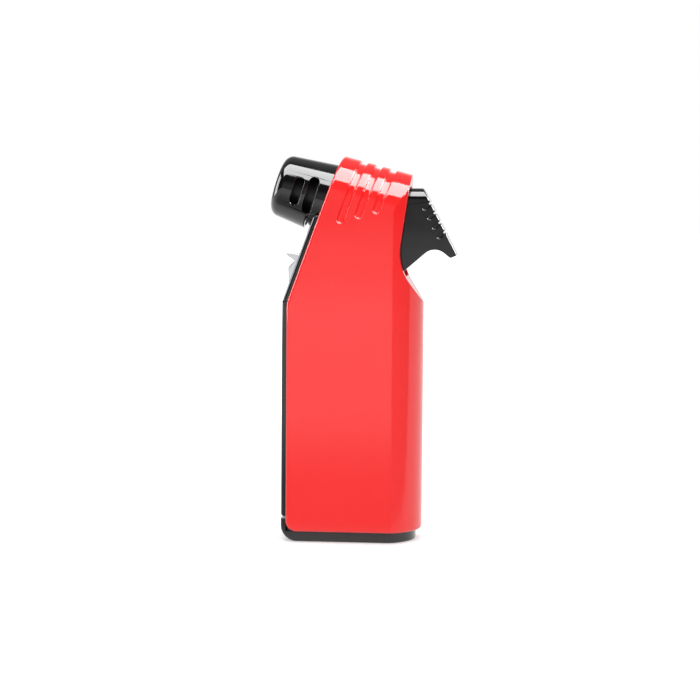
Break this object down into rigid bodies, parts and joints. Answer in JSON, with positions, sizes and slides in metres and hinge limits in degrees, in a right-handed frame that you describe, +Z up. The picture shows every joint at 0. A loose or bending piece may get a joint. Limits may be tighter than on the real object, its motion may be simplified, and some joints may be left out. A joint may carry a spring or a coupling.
{
  "type": "butane torch",
  "caption": "Palm-size jet-flame torch: red one-piece cover on a black frame, tilted nozzle, thumb trigger, flame lock and refillable tank.",
  "frame": {"origin": "middle of the flat underside that the torch stands on", "axes": "+Z up along the body; -X towards the flame, +X towards the thumb trigger; Y across the body"},
  "size_m": [0.0531, 0.024, 0.1087],
  "materials": {
    "red_lacquer": "gloss",
    "black_gloss": "gloss",
    "black_matte": "matte",
    "smoke_tank": "gloss",
    "alloy": "satin",
    "steel": "satin",
    "chrome": "polished",
    "brass": "satin",
    "rubber_black": "matte",
    "hose_grey": "satin",
    "white_plastic": "matte",
    "wire_red": "satin",
    "ceramic": "matte"
  },
  "bodies": {
    "torch": {"outer_cover": "red_lacquer", "front_frame": "black_gloss", "base_cap": "black_gloss", "base_screws": "steel", "fuel_tank": "smoke_tank", "tank_lid": "alloy", "lid_gasket": "rubber_black", "refill_valve": "brass", "refill_spring": "steel", "refill_o_ring": "rubber_black", "adjuster_body": "brass", "feed_tube": "white_plastic", "outlet_valve": "brass", "outlet_spring": "steel", "outlet_o_ring": "rubber_black", "gas_hose": "hose_grey", "head_chassis": "black_matte", "chassis_screws": "steel", "piezo_body": "black_matte", "return_spring": "steel", "ignition_wire": "wire_red", "electrode": "steel", "electrode_sleeve": "ceramic", "burner_jet": "brass", "mixing_tube": "brass", "flame_tube": "black_matte", "flame_grid": "steel", "nozzle_shroud": "black_gloss", "nozzle_collar": "black_matte", "trigger_pin": "steel", "lever_pin": "steel", "lock_spring": "steel"},
    "trigger": {"trigger": "black_gloss"},
    "igniter_plunger": {"piezo_plunger": "white_plastic"},
    "valve_lever": {"valve_lever": "steel"},
    "outlet_stem": {"outlet_stem": "brass"},
    "flame_lock": {"lock_slider": "chrome"},
    "flame_dial": {"flame_dial": "black_matte", "adjuster_needle": "brass"},
    "refill_poppet": {"refill_poppet": "black_matte"}
  },
  "joints": [
    {"name": "trigger_press", "type": "hinge", "parent": "torch", "child": "trigger", "pos_m": [0.01125, 0, 0.0956], "axis": [0, 1, 0], "range_deg": [0, 13], "stiffness_Nm_per_rad": 0.6, "springref_deg": -8.59},
    {"name": "igniter_press", "type": "slide", "parent": "torch", "child": "igniter_plunger", "axis": [-1, 0, 0], "range_m": [0, 0.0031], "deforming": ["return_spring"]},
    {"name": "valve_lever_turn", "type": "hinge", "parent": "torch", "child": "valve_lever", "pos_m": [0.0015, 0, 0.0702], "axis": [0, 1, 0], "range_deg": [0, 8.5]},
    {"name": "outlet_lift", "type": "slide", "parent": "torch", "child": "outlet_stem", "axis": [0, 0, 1], "range_m": [0, 0.00082], "deforming": ["outlet_spring"]},
    {"name": "lock_slide", "type": "slide", "parent": "torch", "child": "flame_lock", "axis": [0.342, 0, 0.9397], "range_m": [0, 0.003]},
    {"name": "dial_turn", "type": "hinge", "parent": "torch", "child": "flame_dial", "pos_m": [-0.007, 0, 0.0005], "axis": [0, 0, 1], "range_deg": [-150, 150]},
    {"name": "refill_press", "type": "slide", "parent": "torch", "child": "refill_poppet", "axis": [0, 0, 1], "range_m": [0, 0.0015], "stiffness_N_per_m": 600, "springref_m": -0.002, "deforming": ["refill_spring"]}
  ],
  "couplings": [
    {"joint": "igniter_press", "follows": "trigger_press", "m_per_rad": 0.0136},
    {"joint": "valve_lever_turn", "follows": "trigger_press", "ratio": 0.6411},
    {"joint": "outlet_lift", "follows": "trigger_press", "m_per_rad": 0.003526}
  ]
}
